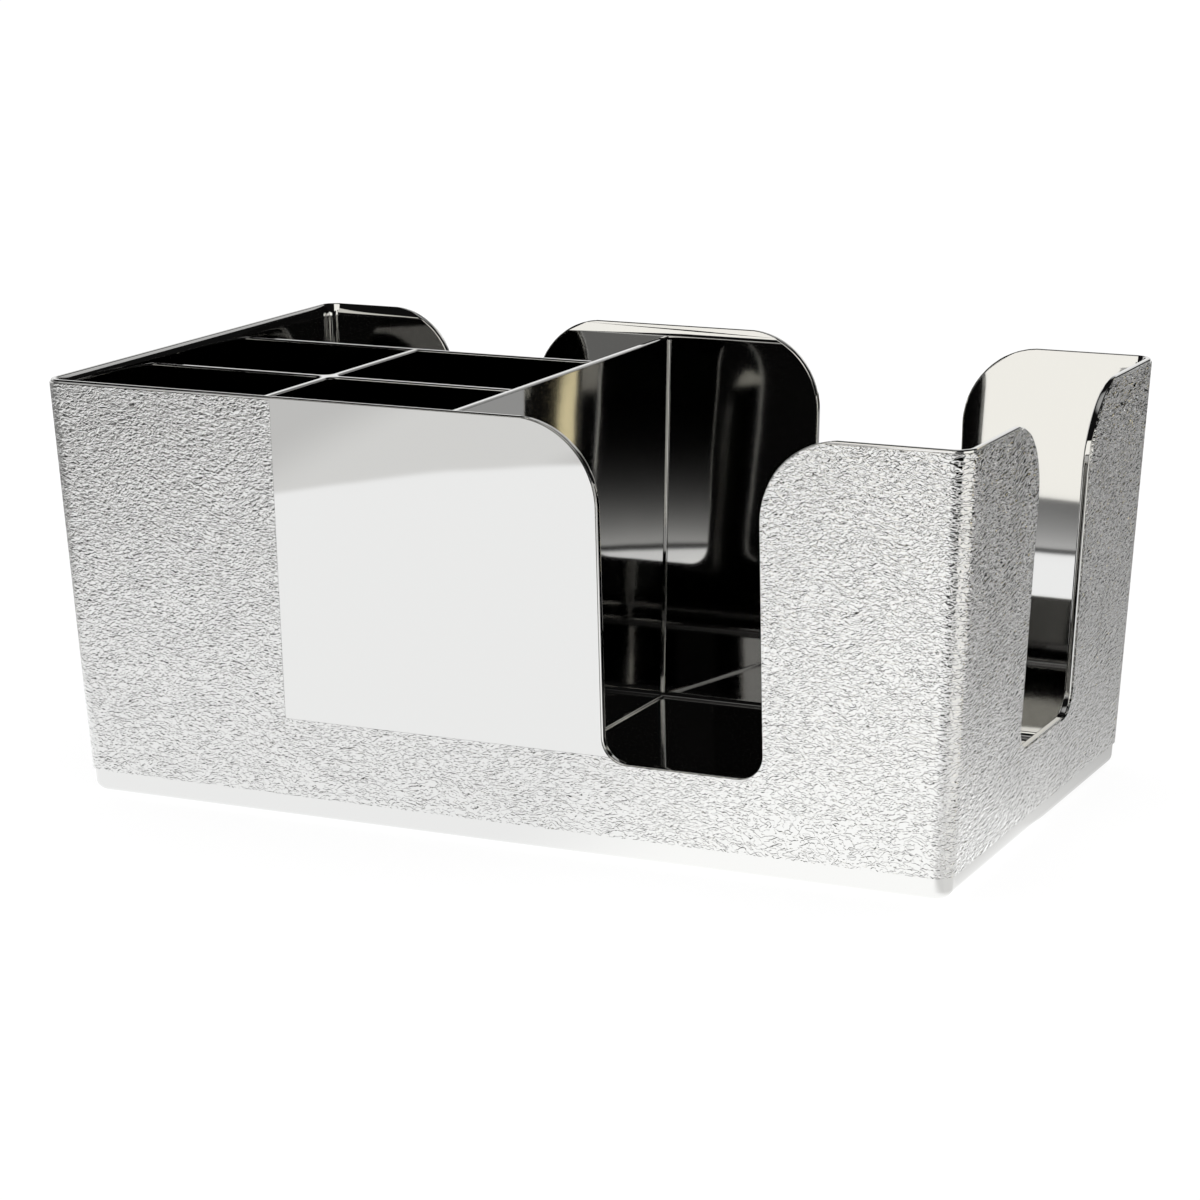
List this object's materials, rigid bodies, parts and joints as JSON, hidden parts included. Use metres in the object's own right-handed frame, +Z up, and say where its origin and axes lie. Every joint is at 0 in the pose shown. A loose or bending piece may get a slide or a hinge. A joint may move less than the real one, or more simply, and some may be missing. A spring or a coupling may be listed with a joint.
{
  "type": "napkin and cutlery caddy",
  "caption": "Open rectangular caddy with drafted, grained mirror-bright walls, U-shaped cut-outs around a napkin compartment, and divided cells for cutlery beside it.",
  "frame": {"origin": "under the middle of the caddy, on the surface that its feet stand on", "axes": "+X along the long side towards the napkin compartment, +Y towards the wall with the narrow notch, +Z up"},
  "size_m": [0.24, 0.1441, 0.1061],
  "materials": {
    "polished_tub": "mirror-bright plating on moulded plastic",
    "grained_skin": "bright plating over a fine leather grain",
    "polished_plate": "smooth mirror-bright plating",
    "polished_dividers": "mirror-bright plating on moulded plastic",
    "foot_rubber": "matt"
  },
  "bodies": {
    "root": {"inner_tub": "polished_tub", "textured_sleeve": "grained_skin", "front_face_plate": "polished_plate", "napkin_partition": "polished_dividers", "rear_slot_divider": "polished_dividers", "cell_cross_divider": "polished_dividers", "foot_front_left": "foot_rubber", "foot_front_right": "foot_rubber", "foot_back_left": "foot_rubber", "foot_back_right": "foot_rubber"}
  },
  "joints": []
}
